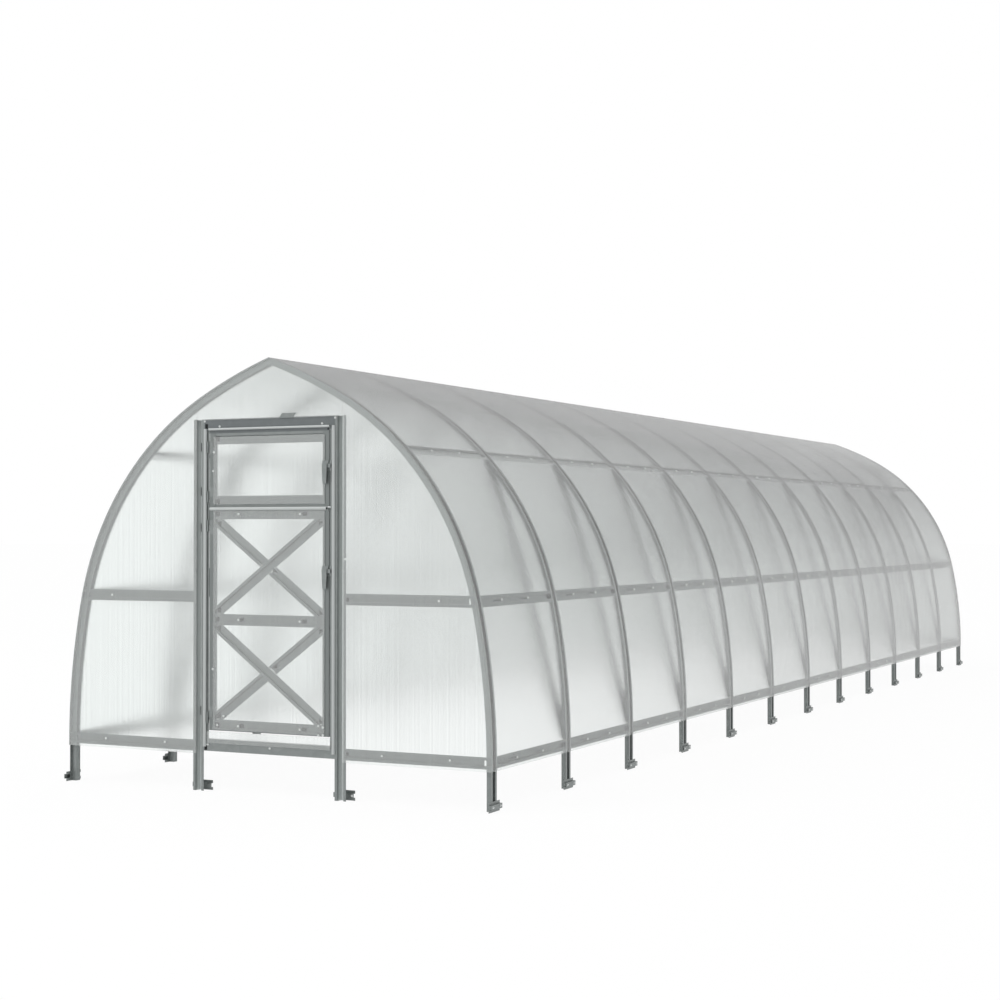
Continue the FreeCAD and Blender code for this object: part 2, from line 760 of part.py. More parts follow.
REAR = {
    "rear_doorway": ["front_post_left", "front_post_right", "front_post_anchors",
                     "front_lintel", "front_sill"],
    "rear_rails": ["front_rails_left", "front_rails_right"],
    "rear_sheet_left": ["front_sheet_left"],
    "rear_sheet_right": ["front_sheet_right"],
    "rear_sheet_top": ["front_sheet_top"],
    "rear_strips": ["front_strips", "door_top_strip"],
    "rear_leaf_frames": ["door_frame", "door_braces", "vent_frame"],
    "rear_leaf_panes": ["door_pane", "vent_pane", "front_sill_sheet"],
    "rear_fittings": ["vent_fittings"],
}
by_label = {thing.Label: thing for thing in subparts}
for label, sources in REAR.items():
    pieces = [by_label[source] for source in sources]
    if label == "rear_fittings":
        pieces += rear_leaf_fittings
    piece = group(pieces, label)
    piece.Placement.Rotation = FreeCAD.Rotation(ALONG_Z, 180)
    keep(piece, label)

# check and write

doc.recompute()
failed = [thing for thing in doc.Objects if {"Invalid", "Error"} & set(thing.State)]
if failed:
    raise RuntimeError(f"failed: {[(thing.Name, thing.Label) for thing in failed]}")
for thing in subparts:
    if thing.Shape.isNull() or not thing.Shape.isValid():
        raise RuntimeError(f"{thing.Label} has no valid shape")
for thing in subparts:
    thing.Shape.exportStep(f"parts/{thing.Label}.step")
print(len(subparts), "sub-parts written")
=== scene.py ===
import json
import math
import bpy
import bmesh
from mathutils import Matrix, Vector

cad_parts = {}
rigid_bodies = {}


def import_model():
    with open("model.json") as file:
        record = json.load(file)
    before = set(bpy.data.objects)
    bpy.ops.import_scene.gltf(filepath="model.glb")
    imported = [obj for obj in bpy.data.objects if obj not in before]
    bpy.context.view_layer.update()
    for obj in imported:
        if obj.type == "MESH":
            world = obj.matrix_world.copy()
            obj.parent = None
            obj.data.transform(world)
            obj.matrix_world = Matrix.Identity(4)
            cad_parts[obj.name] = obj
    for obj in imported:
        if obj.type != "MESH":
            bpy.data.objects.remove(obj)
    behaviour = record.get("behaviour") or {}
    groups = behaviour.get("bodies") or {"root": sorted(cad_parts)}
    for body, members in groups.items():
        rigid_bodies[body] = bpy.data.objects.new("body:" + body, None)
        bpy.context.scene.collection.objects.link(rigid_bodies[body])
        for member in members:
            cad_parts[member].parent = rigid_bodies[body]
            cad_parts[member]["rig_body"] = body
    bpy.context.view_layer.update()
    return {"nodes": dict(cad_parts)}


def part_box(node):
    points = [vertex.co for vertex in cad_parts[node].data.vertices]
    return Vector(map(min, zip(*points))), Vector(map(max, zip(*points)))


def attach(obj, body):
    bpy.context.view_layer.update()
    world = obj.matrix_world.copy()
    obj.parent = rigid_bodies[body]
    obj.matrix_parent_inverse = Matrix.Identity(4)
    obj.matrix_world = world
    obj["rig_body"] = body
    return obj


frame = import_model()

# A gothic arch greenhouse: galvanised steel hat sections under clear twin-wall sheet.
# Metres, +Z up, front gable at -Y. Steel and sheets are the frame's own nodes; this
# script gives them their finish and adds the small pieces that sit on them.

nodes = frame["nodes"]
bays = sum(name.startswith("arch_") for name in nodes) - 1   # of one metre each


# the camera stands to the right of the front gable, at eye height

camera = {"eye": (5.8725, -14.939, 1.547), "leftTurn": 26.13, "lift": 0.94, "lens": 65.3,
          "sensor": 36, "farthest": 200}


def addCamera():
    data = bpy.data.cameras.new("viewCamera")
    data.lens = camera["lens"]
    data.sensor_width = camera["sensor"]
    data.clip_end = camera["farthest"]
    eye = bpy.data.objects.new("viewCamera", data)
    eye.location = camera["eye"]
    level = 90   # an unturned camera looks straight down
    eye.rotation_euler = (math.radians(level + camera["lift"]), 0,
                          math.radians(camera["leftTurn"]))
    bpy.context.scene.collection.objects.link(eye)
    bpy.context.scene.camera = eye


addCamera()
print("camera placed")


# materials

def toLinear(hexColour):
    parts = [int(hexColour[i:i + 2], 16) / 255 for i in (1, 3, 5)]
    return [p / 12.92 if p <= 0.04045 else ((p + 0.055) / 1.055) ** 2.4 for p in parts] + [1]


def addNode(tree, kind, settings=None, links=None):
    # a setting is an input, by its name or number, or else one of the node's own options
    node = tree.nodes.new("ShaderNode" + kind)
    for name, value in (settings or {}).items():
        if isinstance(name, int) or name in node.inputs:
            node.inputs[name].default_value = value
        else:
            setattr(node, name, value)
    for name, source in (links or {}).items():
        tree.links.new(source, node.inputs[name])
    return node


def newMaterial(name):
    material = bpy.data.materials.new(name)
    material.use_nodes = True
    material.node_tree.nodes.clear()
    return material, material.node_tree


# hot-dip galvanised steel strip, roll formed: matt zinc with faint crystals and rolling
# streaks. Its other tones are the same zinc made lighter or darker: painted light and painted
# shade
steel = {"crystalSize": 0.030, "streakSize": 0.004, "streakDetail": 2, "metallic": 0.6,
         "roughness": 0.42, "roughnessSpread": 0.1, "grainDepth": 0.0004, "grainStrength": 0.15}

# the zinc's own colour and its crystals' in the middle tone; the others are the same zinc with
# painted light or painted shade, or with plating
zincTones = {
    "middle": ("#8c9190", "#838887"),   # most of the frame
    # painted light in the door posts' channels, where their own shade falls
    "bright": ("#d0d4d3", "#cbcfce"),   # the door posts behind their faces
    # painted light on the middle purlins and on the end arches under the cover
    "pale": ("#989d9c", "#8f9493"),     # the middle purlins, and the end arches up the cover
    # painted shade on the outer lips of the leaves' stiles
    "worn": ("#7d8281", "#777c7b"),     # the outer lips of the leaves' stiles
    # painted shade on the front lintel's face
    "dull": ("#717677", "#6b7071"),     # the front lintel
    # painted shade on the arches and upper purlins under the cover
    "soft": ("#6f7473", "#696e6d"),     # the arches and upper purlins under the cover
    # painted shade on the chord struts inside
    "inner": ("#4a4e4d", "#464a49"),    # the chord struts
    "shaded": ("#222525", "#1e2121"),   # holes and open ends, where no light gets in
    # real plating on screws and bolts, and painted light on the upper purlins' lower lips
    "plated": ("#dfe2e1", "#d8dbda"),   # screws, bolts and the upper purlins' lower lips
}

# across an arch's hat section behind the cover: little light gets into the mouth, and the
# brims catch it
hatTones = {"pitch": 1.0, "mouth": 0.0170, "brim": 0.0190, "blend": 0.0005,
            "inMouth": "#4a4f4e", "onBrim": "#a9aead"}


def acrossHat(tree, along, web):
    # the arches stand one pitch apart, so the distance to the nearest pitch is the distance
    # to the middle of an arch
    across = addNode(tree, "Math", {"operation": "PINGPONG", 1: hatTones["pitch"] / 2},
                     {0: along})
    pastMouth, onBrim = [
        addNode(tree, "MapRange", {"From Min": hatTones[edge] - hatTones["blend"],
                                   "From Max": hatTones[edge] + hatTones["blend"]},
                {"Value": across.outputs[0]})
        for edge in ("mouth", "brim")]
    inside = addNode(tree, "Mix", {"data_type": "RGBA", 6: toLinear(hatTones["inMouth"]),
                                   7: toLinear(web)},
                     {0: pastMouth.outputs[0]})
    whole = addNode(tree, "Mix", {"data_type": "RGBA", 7: toLinear(hatTones["onBrim"])},
                    {0: onBrim.outputs[0], 6: inside.outputs[2]})
    return whole.outputs[2]


def galvanisedSteel(tone, other=None, axis=None, start=0, end=0, hat=False):
    # one tone all over, or a second one that takes over from start to end, both distances
    # from the greenhouse's middle along an axis, and is drawn across the hat where asked
    name = f"{tone}To{other.title()}GalvanisedSteel{axis}" if other else f"{tone}GalvanisedSteel"
    material, tree = newMaterial(name)
    zinc, crystal = zincTones[tone]
    place = addNode(tree, "TexCoord").outputs["Object"]
    # real crystals are about 8 mm across; they are drawn coarser, or they would not show
    crystals = addNode(tree, "TexVoronoi", {"Scale": 1 / steel["crystalSize"]},
                       {"Vector": place})
    colour = addNode(tree, "Mix", {"data_type": "RGBA", 6: toLinear(zinc),
                                   7: toLinear(crystal)},
                     {0: crystals.outputs["Color"]})
    if other:
        web = zincTones[other][0]
        split = addNode(tree, "SeparateXYZ", {}, {"Vector": place})
        distance = addNode(tree, "Math", {"operation": "ABSOLUTE"}, {0: split.outputs[axis]})
        share = addNode(tree, "MapRange", {"From Min": start, "From Max": end},
                        {"Value": distance.outputs[0]})
        colour = addNode(tree, "Mix", {"data_type": "RGBA", 7: toLinear(web)},
                         {0: share.outputs[0], 6: colour.outputs[2]})
        if hat:
            tree.links.new(acrossHat(tree, split.outputs["Y"], web), colour.inputs[7])
    # rolling streaks are a fraction of a millimetre wide, and are drawn coarser as well
    streaks = addNode(tree, "TexNoise", {"Scale": 1 / steel["streakSize"],
                                         "Detail": steel["streakDetail"]}, {"Vector": place})
    rough = addNode(tree, "MapRange",
                    {"To Min": steel["roughness"] - steel["roughnessSpread"] / 2,
                     "To Max": steel["roughness"] + steel["roughnessSpread"] / 2},
                    {"Value": streaks.outputs["Fac"]})
    grain = addNode(tree, "Bump", {"Strength": steel["grainStrength"],
                                   "Distance": steel["grainDepth"]},
                    {"Height": streaks.outputs["Fac"]})
    shader = addNode(tree, "BsdfPrincipled", {"Metallic": steel["metallic"]},
                     {"Base Color": colour.outputs[2], "Roughness": rough.outputs[0],
                      "Normal": grain.outputs[0]})
    addNode(tree, "OutputMaterial", {}, {"Surface": shader.outputs[0]})
    return material


# extruded clear polycarbonate, two thin walls joined by ribs: the ribs blur what lies far
# behind, show as faint lines, and take more light the more of them a slanting view crosses;
# their faint white scatter is the haze. X has its flutes side by side along X, as on the
# gables, and Y along Y, as on the cover
twinWall = {"flute": 0.012, "fluteDepth": 0.0003, "fluteStrength": 0.3,
            "roughness": {"X": 0.20, "Y": 0.16}, "ior": 1.586, "tint": "#fcfffe",
            "haze": {"X": 0.19, "Y": 0.03},
            "slantBlend": 0.5, "slantPower": 9, "slantLoss": 3.2, "least": 0.4,
            "ribLines": {"X": 0.06, "Y": 0.03}, "ribRange": (0.3, 0.7), "ribDetail": 1,
            "tape": "#9a9f9e", "tapeRoughness": 0.6, "tapeFacing": 0.7}


def lightLeft(tree, along, acrossFlutes):
    # next to nothing is lost straight on, and most of the light at a glancing view
    slant = addNode(tree, "LayerWeight", {"Blend": twinWall["slantBlend"]})
    steep = addNode(tree, "Math", {"operation": "POWER", 1: twinWall["slantPower"]},
                    {0: slant.outputs["Facing"]})
    lost = addNode(tree, "Math", {"operation": "MULTIPLY", 1: twinWall["slantLoss"]},
                   {0: steep.outputs[0]})
    left = addNode(tree, "Math", {"operation": "SUBTRACT", 0: 1.0}, {1: lost.outputs[0]})
    kept = addNode(tree, "Math", {"operation": "MAXIMUM", 1: twinWall["least"]},
                   {0: left.outputs[0]})
    # no two ribs are alike, so the lines are uneven
    ribs = addNode(tree, "TexNoise", {"noise_dimensions": "1D", "Scale": 1 / twinWall["flute"],
                                      "Detail": twinWall["ribDetail"]}, {"W": along})
    weakest, strongest = twinWall["ribRange"]
    lines = addNode(tree, "MapRange", {"From Min": weakest, "From Max": strongest,
                                       "To Min": 1 - twinWall["ribLines"][acrossFlutes],
                                       "To Max": 1.0}, {"Value": ribs.outputs["Fac"]})
    clear = addNode(tree, "Math", {"operation": "MULTIPLY"},
                    {0: kept.outputs[0], 1: lines.outputs[0]})
    grey = addNode(tree, "CombineColor", {},
                   {channel: clear.outputs[0] for channel in (0, 1, 2)})
    return grey.outputs[0]


def twinWallPolycarbonate(name, acrossFlutes):
    material, tree = newMaterial(name)
    coordinates = addNode(tree, "TexCoord")
    split = addNode(tree, "SeparateXYZ", {}, {"Vector": coordinates.outputs["Object"]})
    along = split.outputs[acrossFlutes]
    # real flutes are 6 mm wide; every second one is drawn, or they would not show
    turns = addNode(tree, "Math", {"operation": "MULTIPLY", 1: 2 * math.pi / twinWall["flute"]},
                    {0: along})
    wave = addNode(tree, "Math", {"operation": "SINE"}, {0: turns.outputs[0]})
    flutes = addNode(tree, "Bump", {"Strength": twinWall["fluteStrength"],
                                    "Distance": twinWall["fluteDepth"]},
                     {"Height": wave.outputs[0]})
    tint = addNode(tree, "Mix", {"data_type": "RGBA", "blend_type": "MULTIPLY", 0: 1.0,
                                 7: toLinear(twinWall["tint"])},
                   {6: lightLeft(tree, along, acrossFlutes)})
    # light scatters once on its way in, and leaves clear
    haze = twinWall["haze"][acrossFlutes]
    leaving = addNode(tree, "NewGeometry").outputs["Backfacing"]
    through = addNode(tree, "Math", {"operation": "MULTIPLY_ADD", 1: haze, 2: 1 - haze},
                      {0: leaving})
    wall = addNode(tree, "BsdfPrincipled", {"Roughness": twinWall["roughness"][acrossFlutes],
                                            "IOR": twinWall["ior"]},
                   {"Normal": flutes.outputs[0], "Base Color": tint.outputs[2],
                    "Transmission Weight": through.outputs[0]})
    # the cut edges are closed with pale tape: on the cover they face along Y, and on the
    # gables any way but Y
    tape = addNode(tree, "BsdfPrincipled", {"Base Color": toLinear(twinWall["tape"]),
                                            "Roughness": twinWall["tapeRoughness"]})
    facing = addNode(tree, "SeparateXYZ", {}, {"Vector": coordinates.outputs["Normal"]})
    level = addNode(tree, "Math", {"operation": "ABSOLUTE"}, {0: facing.outputs["Y"]})
    sense = "LESS_THAN" if acrossFlutes == "X" else "GREATER_THAN"
    edge = addNode(tree, "Math", {"operation": sense, 1: twinWall["tapeFacing"]},
                   {0: level.outputs[0]})
    sheet = addNode(tree, "MixShader", {},
                    {0: edge.outputs[0], 1: wall.outputs[0], 2: tape.outputs[0]})
    addNode(tree, "OutputMaterial", {}, {"Surface": sheet.outputs[0]})
    return material


# rolled aluminium strip with a rounded nose: brighter and smoother than the zinc. Its
# rolling lines are drawn 3 mm apart, coarser than real ones, or they would not show
strip = {"colour": "#b9bdbc", "metallic": 0.6, "roughness": 0.5, "linesPerMetre": 300,
         "lineDetail": 1, "grainDepth": 0.0002, "grainStrength": 0.1}


def rolledAluminium():
    material, tree = newMaterial("rolledAluminium")
    place = addNode(tree, "TexCoord").outputs["Object"]
    lines = addNode(tree, "TexNoise", {"Scale": strip["linesPerMetre"],
                                       "Detail": strip["lineDetail"]}, {"Vector": place})
    grain = addNode(tree, "Bump", {"Strength": strip["grainStrength"],
                                   "Distance": strip["grainDepth"]},
                    {"Height": lines.outputs["Fac"]})
    shader = addNode(tree, "BsdfPrincipled", {"Base Color": toLinear(strip["colour"]),
                                              "Metallic": strip["metallic"],
                                              "Roughness": strip["roughness"]},
                     {"Normal": grain.outputs[0]})
    addNode(tree, "OutputMaterial", {}, {"Surface": shader.outputs[0]})
    return material


# where a second tone, of painted light or painted shade, takes over, from and to: measured
# from the leaf's edge, the cover's hem, the gable's face and the foot of the upper purlin
toneSteps = {"leafEdge": (-0.016, -0.012), "hem": (-0.01, 0.01), "face": (-0.004, -0.020),
             "ledge": (0.030, 0.033)}


def dress():
    places = {"leafEdge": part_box("door_pane")[1].x, "hem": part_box("cover_sheet_1")[0].z,
              "face": -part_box("front_lintel")[0].y, "ledge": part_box("upper_purlin_right")[0].z}
    steps = {name: [places[name] + step for step in toneSteps[name]] for name in places}
    # the second tones are painted: shade on the stiles' outer lips, light up the end arches under
    # the cover, light in the posts' channels
    zinc = galvanisedSteel("middle")
    leafZinc = galvanisedSteel("middle", "worn", "X", *steps["leafEdge"])
    endArch = galvanisedSteel("middle", "pale", "Z", *steps["hem"], True)
    postZinc = galvanisedSteel("middle", "bright", "Y", *steps["face"])
    gableSheet = twinWallPolycarbonate("twinWallGable", "X")
    # a node takes the first row that fits: a row is how its name starts, or for those in
    # anywhere a word in it
    anywhere = ("sheet", "pane", "strip")
    finishes = {
        "cover_sheet": twinWallPolycarbonate("twinWallCover", "Y"),
        "arch_01": endArch,
        "arch_13": endArch,
        "sheet": gableSheet,
        "pane": gableSheet,
        "strip": rolledAluminium(),
        # painted shade on the lintel and on the chord struts
        "front_lintel": galvanisedSteel("dull"),
        "chord_struts": galvanisedSteel("inner"),
        "vent_frame": leafZinc,
        "door_frame": leafZinc,
        "rear_leaf_frames": leafZinc,
        "front_post_left": postZinc,
        "front_post_right": postZinc,
        "rear_doorway": postZinc,
        # painted shade on the arches under the cover, with painted light and shade across their
        # hat sections; painted light on the middle purlins; painted light on the upper purlins'
        # lower lips and painted shade above them
        "arch_": galvanisedSteel("middle", "soft", "Z", *steps["hem"], True),
        "mid_purlin": galvanisedSteel("pale"),
        "upper_purlin": galvanisedSteel("plated", "soft", "Z", *steps["ledge"]),
    }
    for name, node in nodes.items():
        finish = next((finishes[word] for word in finishes if name.startswith(word)
                       or word in anywhere and word in name), zinc)
        node.data.materials.clear()
        node.data.materials.append(finish)
    return zinc


zinc = dress()
shaded = galvanisedSteel("shaded")
plated = galvanisedSteel("plated")
print("materials given")


# small pieces

def toMesh(name, bm):
    mesh = bpy.data.meshes.new(name)
    bm.to_mesh(mesh)
    bm.free()
    return mesh


def addPiece(name, bm, finish, body):
    mesh = toMesh(name, bm)
    mesh.materials.append(finish)
    piece = bpy.data.objects.new(name, mesh)
    bpy.context.scene.collection.objects.link(piece)
    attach(piece, body)


def setCopies(name, shape, spots, finish, body):
    # one piece of many copies of a shape, each with its foot at a point and its top outwards
    bm = bmesh.new()
    for point, outward in spots:
        turned = shape.copy()
        turn = outward.to_track_quat("Z", "Y").to_matrix().to_4x4()
        turned.transform(Matrix.Translation(point) @ turn)
        bm.from_mesh(turned)
        bpy.data.meshes.remove(turned)
    bpy.data.meshes.remove(shape)
    addPiece(name, bm, finish, body)


# self-drilling screw: hex head over a bevelled washer
screw = {"washer": 0.0075, "washerSides": 14, "washerTop": 0.8, "rim": 0.0014, "head": 0.0050,
         "headHeight": 0.0045, "chamfer": 0.0010}


def screwShape():
    bm = bmesh.new()
    bmesh.ops.create_cone(bm, cap_ends=True, segments=screw["washerSides"],
                          radius1=screw["washer"],
                          radius2=screw["washer"] * screw["washerTop"], depth=screw["rim"],
                          matrix=Matrix.Translation((0, 0, screw["rim"] / 2)))
    top = screw["rim"] + screw["headHeight"]
    middle = Matrix.Translation((0, 0, top - screw["headHeight"] / 2))
    hexagon = bmesh.ops.create_cone(bm, cap_ends=True, segments=6, radius1=screw["head"],
                                    radius2=screw["head"], depth=screw["headHeight"],
                                    matrix=middle)
    nearly = 1e-5   # corners this close to the top belong to it
    edges = {e for v in hexagon["verts"] for e in v.link_edges
             if all(abs(w.co.z - top) < nearly for w in e.verts)}
    bmesh.ops.bevel(bm, geom=list(edges), offset=screw["chamfer"], affect="EDGES",
                    segments=1, profile=0.5, material=-1)
    return toMesh("screwShape", bm)


# thin plate with rounded corners
plate = {"thick": 0.0006, "corner": 0.002, "cornerSteps": 2}


def flatShape(width, height):
    bm = bmesh.new()
    bmesh.ops.create_grid(bm, x_segments=1, y_segments=1, size=0.5)
    bmesh.ops.scale(bm, vec=(width, height, 1), verts=bm.verts)
    return bm


def thicken(bm, thick):
    walls = bmesh.ops.extrude_face_region(bm, geom=list(bm.faces))
    raised = [v for v in walls["geom"] if isinstance(v, bmesh.types.BMVert)]
    bmesh.ops.translate(bm, vec=(0, 0, thick), verts=raised)
    bmesh.ops.recalc_face_normals(bm, faces=bm.faces)


def roundedPlate(width, height, thick=plate["thick"]):
    bm = flatShape(width, height)
    bmesh.ops.bevel(bm, geom=list(bm.verts), offset=plate["corner"], affect="VERTICES",
                    segments=plate["cornerSteps"], profile=0.5, material=-1)
    thicken(bm, thick)
    return toMesh("roundedPlate", bm)


# straight lines from outside find what the small pieces sit on: how far out they start at
# the gables, the sides and the cover, what they look through where asked, the step past it,
# and how many things they go through at most
sight = {"gable": 8, "side": 3, "cover": 0.05, "step": 1e-4, "most": 12,
         "through": ("sheet", "pane", "Screws")}


def lookIn(start, way, behindSheets=False):
    # the first point met and the object it is on, with sheets and screws looked through
    # where asked
    scene = bpy.context.scene
    graph = bpy.context.evaluated_depsgraph_get()
    start, way = Vector(start), Vector(way)
    for crossing in range(sight["most"]):
        hit, point, normal, index, found, place = scene.ray_cast(graph, start, way)
        if not hit:
            break
        if not (behindSheets and any(word in found.name for word in sight["through"])):
            return point, found
        start = point + way * sight["step"]
    return None, None


def gablePlaces(rows, behindSheets=False):
    # a row is the node that a place goes by, the side measured from, how far across from
    # that side, and the heights above the node's foot. Each place comes with the body it is
    # on, and with its twin on the rear gable, which is the front one turned by half a turn
    for name, side, across, heights in rows:
        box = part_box(name)
        for height in heights:
            x, z = box[side].x + across, box[0].z + height
            point, found = lookIn((x, -sight["gable"], z), (0, 1, 0), behindSheets)
            twin = lookIn((-x, sight["gable"], z), (0, -1, 0), behindSheets)[0]
            yield found["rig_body"], (point, Vector((0, -1, 0))), (twin, Vector((0, 1, 0)))


# two screws a bay on each lengthwise rail, nearer to the front arch of the bay; the foot of
# a screw lies a little under the sheet's outside, where its washer presses in
coverScrews = {"rails": ("base_rail", "mid_purlin", "upper_purlin"), "across": (0.285, 0.63),
               "lift": 0.0037}


def onCover(rail, side, y):
    # the place on the cover over a rail, and the way out
    low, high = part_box(f"{rail}_{side}")
    centre = Vector(((low.x + high.x) / 2, y, (low.z + high.z) / 2))
    over = next(node for name, node in nodes.items() if name.startswith("cover_sheet")
                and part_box(name)[0].y <= y <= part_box(name)[1].y)
    inside = over.closest_point_on_mesh(centre)[1]
    outward = (inside - centre).normalized()
    return inside + outward * coverScrews["lift"], outward


def screwPlaces():
    for bay in range(bays):
        for share in coverScrews["across"]:
            yield bay - bays / 2 + share


def addCoverScrews():
    spots = [onCover(rail, side, y) for side in ("left", "right")
             for rail in coverScrews["rails"] for y in screwPlaces()]
    setCopies("coverScrews", screwShape(), spots, plated, "greenhouse")


addCoverScrews()

# screws of one gable, in rows as gablePlaces reads them
gableScrews = [
    ("front_post_left", 0, 0.0525, (0.323, 0.797, 1.278, 1.706)),
    ("front_post_left", 0, 0.0765, (2.192,)),
    ("front_post_right", 1, -0.0305, (0.321, 1.702)),
    ("front_post_right", 1, -0.0035, (1.380,)),
    ("front_post_right", 1, -0.0745, (2.190,)),
    ("front_lintel", 0, 0.1085, (0.040,)),
    ("front_lintel", 1, -0.0865, (0.040,)),
    ("front_sill", 0, 0.0285, (0.038,)),
    ("front_sill", 0, 0.4645, (0.037,)),
    ("front_rails_left", 0, 0.276, (0.041,)),
    ("front_rails_left", 0, 0.717, (0.041,)),
    ("front_rails_right", 0, 0.252, (0.038,)),
    ("front_rails_right", 0, 0.685, (0.038,)),
    ("front_rails_right", 0, 0.615, (0.917,)),
    ("front_rails_left", 1, -0.615, (0.917,)),
    ("vent_frame", 0, 0.027, (0.214,)),
    ("vent_frame", 0, 0.032, (0.325,)),
    ("door_frame", 0, 0.027, (0.362,)),
    ("door_frame", 0, 0.060, (0.033,)),
    ("door_frame", 0, 0.104, (0.088,)),
    ("door_frame", 0, 0.207, (0.033, 0.656, 1.278)),
    ("door_frame", 0, 0.632, (0.033, 0.656, 1.277)),
    ("door_frame", 0, 0.759, (0.006, 0.060)),
    ("door_frame", 0, 0.789, (0.008, 0.053)),
]


def addGableScrews():
    spots = {"greenhouse": [], "door": []}
    twins = []
    for body, spot, twin in gablePlaces(gableScrews):
        spots[body].append(spot)
        twins.append(twin)
    setCopies("gableScrews", screwShape(), spots["greenhouse"], plated, "greenhouse")
    setCopies("doorScrews", screwShape(), spots["door"], plated, "door")
    setCopies("rearGableScrews", screwShape(), twins, plated, "greenhouse")


addGableScrews()
print("screws set")

# plates of the gable, on the steel behind the sheets or on what shows, in rows as
# gablePlaces reads them: the dark ones are painted shade, put where holes and open ends show only
# shade
gablePlates = {
    # painted shade seen through punched slots and squares
    "punchedSlots": {"size": (0.020, 0.030), "finish": shaded, "behindSheets": True, "rows": [
        ("vent_frame", 0, 0.051, (0.033, 0.402)),
        ("door_frame", 0, 0.051, (0.033, 0.656, 1.278))]},
    "punchedSquares": {"size": (0.030, 0.022), "finish": shaded, "behindSheets": True, "rows": [
        ("door_frame", 0, 0.654, (0.033, 0.656, 1.278)),
        ("door_frame", 0, 0.222, (0.033, 0.656)),
        ("front_rails_right", 0, 0.022, (0.037, 0.914))]},
    "hingeLeaves": {"size": (0.026, 0.050), "finish": zinc, "behindSheets": True, "rows": [
        ("vent_frame", 0, 0.016, (0.093, 0.345)),
        ("door_frame", 0, 0.016, (0.115, 1.185))]},
    # painted shade in the open ends of the braces
    "braceEnds": {"size": (0.024, 0.030), "finish": shaded, "behindSheets": True, "rows": [
        ("door_frame", 0, 0.062, (0.088, 0.600, 0.712, 1.220)),
        ("door_frame", 1, -0.062, (0.088, 0.600, 0.712, 1.220))]},
    # painted shade where one brace crosses the other
    "crossingSlots": {"size": (0.028, 0.024), "finish": shaded, "behindSheets": True, "rows": [
        ("door_frame", 0, 0.452, (0.391, 0.950))]},
    # painted shade in the slots by the hinges, and at the ends of the strips
    "hingeSlots": {"size": (0.004, 0.052), "finish": shaded, "behindSheets": False, "rows": [
        ("front_post_left", 0, 0.030, (0.470, 1.560, 1.775, 2.040)),
        ("front_post_left", 0, 0.052, (0.470, 1.560, 1.775))]},
    "stripPlugs": {"size": (0.009, 0.014), "finish": shaded, "behindSheets": False, "rows": [
        ("door_top_strip", 1, -0.0045, (0.011,)),
        ("front_lintel", 1, -0.049, (0.010,))]},
}


def addGablePlates():
    for name, values in gablePlates.items():
        spots = {"greenhouse": [], "door": []}
        for body, spot, twin in gablePlaces(values["rows"], values["behindSheets"]):
            spots[body].append(spot)
            spots["greenhouse"].append(twin)
        for body, ending in (("greenhouse", ""), ("door", "Door")):
            if spots[body]:
                setCopies(name + ending, roundedPlate(*values["size"]), spots[body],
                          values["finish"], body)


addGablePlates()

# dark plates of painted shade: the shade in the slots pressed beside the screws of the rails,
# and in the open end of each rail's crown, which lies in shade behind the arch
railSlots = {"rails": ("base_rail", "mid_purlin"), "size": (0.110, 0.006), "before": 0.022}
railEnds = {"size": (0.060, 0.028), "fromArch": 0.052}


def onRail(rail, side, y):
    # the place on the steel at the bottom of a rail's mouth. It is looked up in the middle
    # of the bay, where nothing stands in the way
    start, outward = onCover(rail, side, math.floor(y) + 0.5)
    point = lookIn(start + outward * sight["cover"], -outward, True)[0]
    return Vector((point.x, y, point.z)), outward


def addRailPlates():
    rails = [(rail, side) for side in ("left", "right") for rail in railSlots["rails"]]
    slots = [onRail(*rail, y - railSlots["before"]) for rail in rails for y in screwPlaces()]
    arches = range(1 - bays // 2, bays // 2 + 1)
    ends = [onRail(*rail, arch - railEnds["fromArch"]) for rail in rails for arch in arches]
    setCopies("railSlots", roundedPlate(*railSlots["size"]), slots, shaded, "greenhouse")
    setCopies("railEnds", roundedPlate(*railEnds["size"]), ends, shaded, "greenhouse")


addRailPlates()

# dark plates of painted shade lie behind the slots at the hinge side of the lintel's top section
# and of the sill, for the shade seen through them
slotShadePlates = {"size": (0.044, 0.066), "across": 0.016, "topSection": 0.070, "behind": 0.0032,
           "thick": 0.0010}


def addLintelSlotShade():
    lintel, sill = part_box("front_lintel"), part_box("front_sill")
    x, y = lintel[0].x + slotShadePlates["across"], lintel[0].y + slotShadePlates["behind"]
    spots = []
    for low, high in ((lintel[1].z - slotShadePlates["topSection"], lintel[1].z),
                      (sill[0].z, sill[1].z)):
        z = (low + high) / 2
        spots += [(Vector((x, y, z)), Vector((0, -1, 0))),
                  (Vector((-x, -y, z)), Vector((0, 1, 0)))]
    setCopies("slotBacking", roundedPlate(*slotShadePlates["size"], slotShadePlates["thick"]), spots, shaded,
              "greenhouse")


addLintelSlotShade()

# the hanging lug stands on the lintel's top edge, before the sheet, and leans to one side
lug = {"across": (0.073, 0.170), "lean": 0.024, "low": -0.006, "tall": 0.028,
       "thick": 0.0025, "edge": 0.0006, "offSheet": 0.0004}


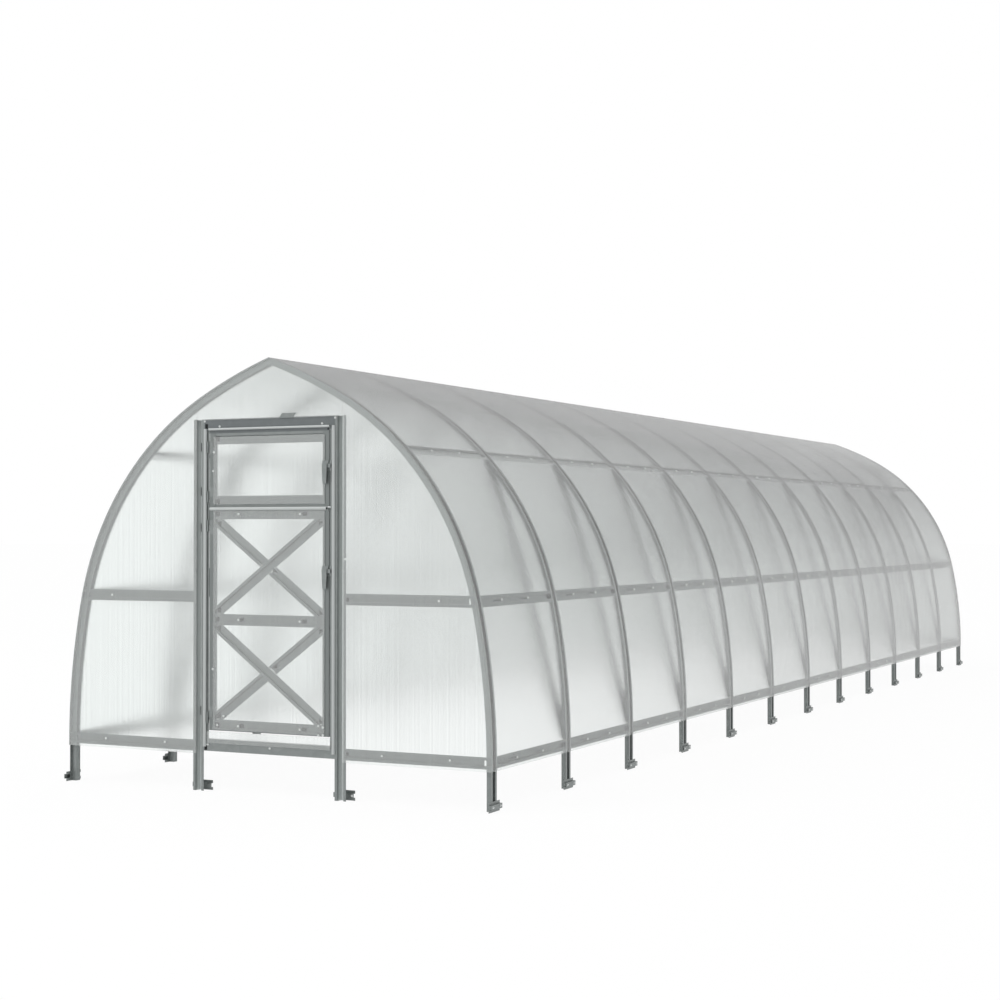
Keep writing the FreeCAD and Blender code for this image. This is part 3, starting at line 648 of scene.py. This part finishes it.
def addHangingLugs():
    start, end = lug["across"]
    middle = Vector(((start + end) / 2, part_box("front_sheet_top")[0].y - lug["offSheet"],
                     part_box("front_lintel")[1].z + lug["low"] + lug["tall"] / 2))
    upright = Matrix.Translation(middle) @ Matrix.Rotation(math.pi / 2, 4, "X")
    for name, turn in (("hangingLug", 0), ("rearHangingLug", math.pi)):
        bm = flatShape(end - start, lug["tall"])
        head = [v for v in bm.verts if v.co.y > 0]
        bmesh.ops.translate(bm, vec=(lug["lean"], 0, 0), verts=head)
        thicken(bm, lug["thick"])
        bmesh.ops.bevel(bm, geom=list(bm.edges), offset=lug["edge"], affect="EDGES",
                        segments=1, profile=0.5, material=-1)
        bmesh.ops.transform(bm, matrix=Matrix.Rotation(turn, 4, "Z") @ upright, verts=bm.verts)
        addPiece(name, bm, zinc, "greenhouse")


addHangingLugs()

# bolts of the ground anchors: two beside each leg, one beside each door post
anchorBolts = {"height": 0.030, "beside": 0.047, "postBeside": 0.012}


def addAnchorBolts():
    spots = []
    z = anchorBolts["height"]
    for side in (1, -1):
        for leg in range(bays + 1):
            for beside in (-anchorBolts["beside"], anchorBolts["beside"]):
                start = (side * sight["side"], leg - bays / 2 + beside, z)
                spots.append((lookIn(start, (-side, 0, 0))[0], Vector((side, 0, 0))))
        x = side * (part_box("front_post_anchors")[1].x - anchorBolts["postBeside"])
        for end in (-1, 1):
            start = (x, end * sight["gable"], z)
            spots.append((lookIn(start, (0, -end, 0))[0], Vector((0, end, 0))))
    setCopies("anchorBolts", screwShape(), spots, plated, "greenhouse")


addAnchorBolts()
print("plates, lugs and anchor bolts set")


# studio: white floor and surround, plain soft light. The sky that mirrors show gets dimmer
# from ceilingFrom to ceilingTo, both as the upward part of its direction

studio = {"sky": 0.9, "ceiling": 0.65, "ceilingFrom": 0.05, "ceilingTo": 0.25,
          "floorSize": 400, "floorColour": "#ffffff", "floorShadow": 0.06,
          "key": (-9, -16, 12), "keyAim": (0, 0, 1), "keyPower": 700, "keySize": 9}


def anyRay(tree, *kinds):
    # 1 for a ray of any of these kinds, and 0 for others
    path = addNode(tree, "LightPath")
    found = path.outputs[kinds[0]]
    for kind in kinds[1:]:
        found = addNode(tree, "Math", {"operation": "MAXIMUM"},
                        {0: found, 1: path.outputs[kind]}).outputs[0]
    return found


def addSky():
    world = bpy.data.worlds.new("surround")
    bpy.context.scene.world = world
    world.use_nodes = True
    tree = world.node_tree
    tree.nodes.clear()
    place = addNode(tree, "TexCoord").outputs["Generated"]
    way = addNode(tree, "SeparateXYZ", {}, {"Vector": place})
    ceiling = addNode(tree, "MapRange", {"From Min": studio["ceilingFrom"],
                                         "From Max": studio["ceilingTo"],
                                         "To Min": 1.0, "To Max": studio["ceiling"]},
                      {"Value": way.outputs["Z"]})
    seen = addNode(tree, "Mix", {3: 1.0},
                   {0: anyRay(tree, "Is Camera Ray", "Is Transmission Ray"),
                    2: ceiling.outputs[0]})
    level = addNode(tree, "Mix", {2: studio["sky"]},
                    {0: anyRay(tree, "Is Camera Ray", "Is Glossy Ray", "Is Transmission Ray"),
                     3: seen.outputs[0]})
    sky = addNode(tree, "Background", {"Color": (1, 1, 1, 1)}, {"Strength": level.outputs[0]})
    addNode(tree, "OutputWorld", {}, {"Surface": sky.outputs[0]})


def addFloor():
    bm = bmesh.new()
    bmesh.ops.create_grid(bm, x_segments=1, y_segments=1, size=studio["floorSize"] / 2)
    mesh = toMesh("floor", bm)
    floor = bpy.data.objects.new("floor", mesh)
    bpy.context.scene.collection.objects.link(floor)
    # white where it is seen, but for a share that takes the object's shadow
    material, tree = newMaterial("paleFloor")
    paint = addNode(tree, "BsdfDiffuse", {"Color": toLinear(studio["floorColour"])})
    glow = addNode(tree, "Emission", {"Color": (1, 1, 1, 1), "Strength": 1.0})
    seen = anyRay(tree, "Is Camera Ray", "Is Glossy Ray", "Is Transmission Ray")
    share = addNode(tree, "Math", {"operation": "MULTIPLY", 1: 1 - studio["floorShadow"]},
                    {0: seen})
    both = addNode(tree, "MixShader", {},
                   {0: share.outputs[0], 1: paint.outputs[0], 2: glow.outputs[0]})
    addNode(tree, "OutputMaterial", {}, {"Surface": both.outputs[0]})
    mesh.materials.append(material)


def addKey():
    lamp = bpy.data.lights.new("softKey", "AREA")
    lamp.shape = "DISK"
    lamp.size = studio["keySize"]
    lamp.energy = studio["keyPower"]
    key = bpy.data.objects.new("softKey", lamp)
    key.location = studio["key"]
    way = Vector(studio["keyAim"]) - Vector(studio["key"])
    key.rotation_euler = way.to_track_quat("-Z", "Y").to_euler()
    bpy.context.scene.collection.objects.link(key)


bpy.context.scene.view_settings.view_transform = "Standard"
addSky()
addFloor()
addKey()
print("studio lit")
